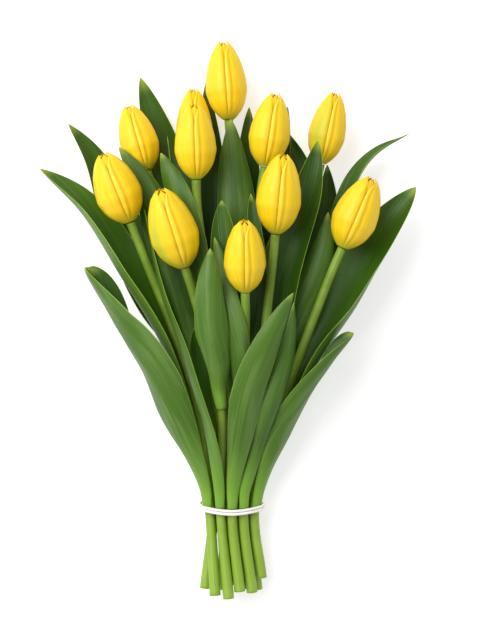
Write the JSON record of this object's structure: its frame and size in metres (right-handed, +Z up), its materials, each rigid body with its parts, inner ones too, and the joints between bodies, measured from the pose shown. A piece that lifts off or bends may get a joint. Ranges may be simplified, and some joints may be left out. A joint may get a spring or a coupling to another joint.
{
  "type": "bunch of tulips",
  "caption": "Bunch of closed yellow tulips with long stems and pointed leaves, fanned at the flowers, tied near the cut ends with a double-wound rubber band, lying on its side.",
  "frame": {"origin": "middle of the bounding box's bottom face, where the lying bunch rests", "axes": "+Y along the bunch from the cut ends to the flowers, +Z up from the surface it lies on, +X to the right seen from above"},
  "size_m": [0.2848, 0.4228, 0.0958],
  "materials": {
    "petal_outer": "satin petal surface",
    "petal_inner": "satin petal surface",
    "leaf": "waxy leaf with fine lengthwise veins",
    "stem": "smooth stem",
    "rubber": "matte white rubber"
  },
  "bodies": {
    "root": {"inner_tepals_01": "petal_inner", "inner_tepals_02": "petal_inner", "inner_tepals_03": "petal_inner", "inner_tepals_04": "petal_inner", "inner_tepals_05": "petal_inner", "inner_tepals_06": "petal_inner", "inner_tepals_07": "petal_inner", "inner_tepals_08": "petal_inner", "inner_tepals_09": "petal_inner", "inner_tepals_10": "petal_inner", "inner_tepals_11": "petal_inner", "leaf_01_a": "leaf", "leaf_01_b": "leaf", "leaf_02_a": "leaf", "leaf_02_b": "leaf", "leaf_02_c": "leaf", "leaf_03_a": "leaf", "leaf_03_b": "leaf", "leaf_03_c": "leaf", "leaf_04_a": "leaf", "leaf_04_b": "leaf", "leaf_05_a": "leaf", "leaf_05_b": "leaf", "leaf_06_a": "leaf", "leaf_06_b": "leaf", "leaf_06_c": "leaf", "leaf_07_a": "leaf", "leaf_07_b": "leaf", "leaf_08_a": "leaf", "leaf_08_b": "leaf", "leaf_09_a": "leaf", "leaf_09_b": "leaf", "leaf_10_a": "leaf", "leaf_10_b": "leaf", "leaf_10_c": "leaf", "leaf_11_a": "leaf", "leaf_11_b": "leaf", "outer_tepals_01": "petal_outer", "outer_tepals_02": "petal_outer", "outer_tepals_03": "petal_outer", "outer_tepals_04": "petal_outer", "outer_tepals_05": "petal_outer", "outer_tepals_06": "petal_outer", "outer_tepals_07": "petal_outer", "outer_tepals_08": "petal_outer", "outer_tepals_09": "petal_outer", "outer_tepals_10": "petal_outer", "outer_tepals_11": "petal_outer", "rubber_band": "rubber", "stem_01": "stem", "stem_02": "stem", "stem_03": "stem", "stem_04": "stem", "stem_05": "stem", "stem_06": "stem", "stem_07": "stem", "stem_08": "stem", "stem_09": "stem", "stem_10": "stem", "stem_11": "stem"}
  },
  "joints": []
}
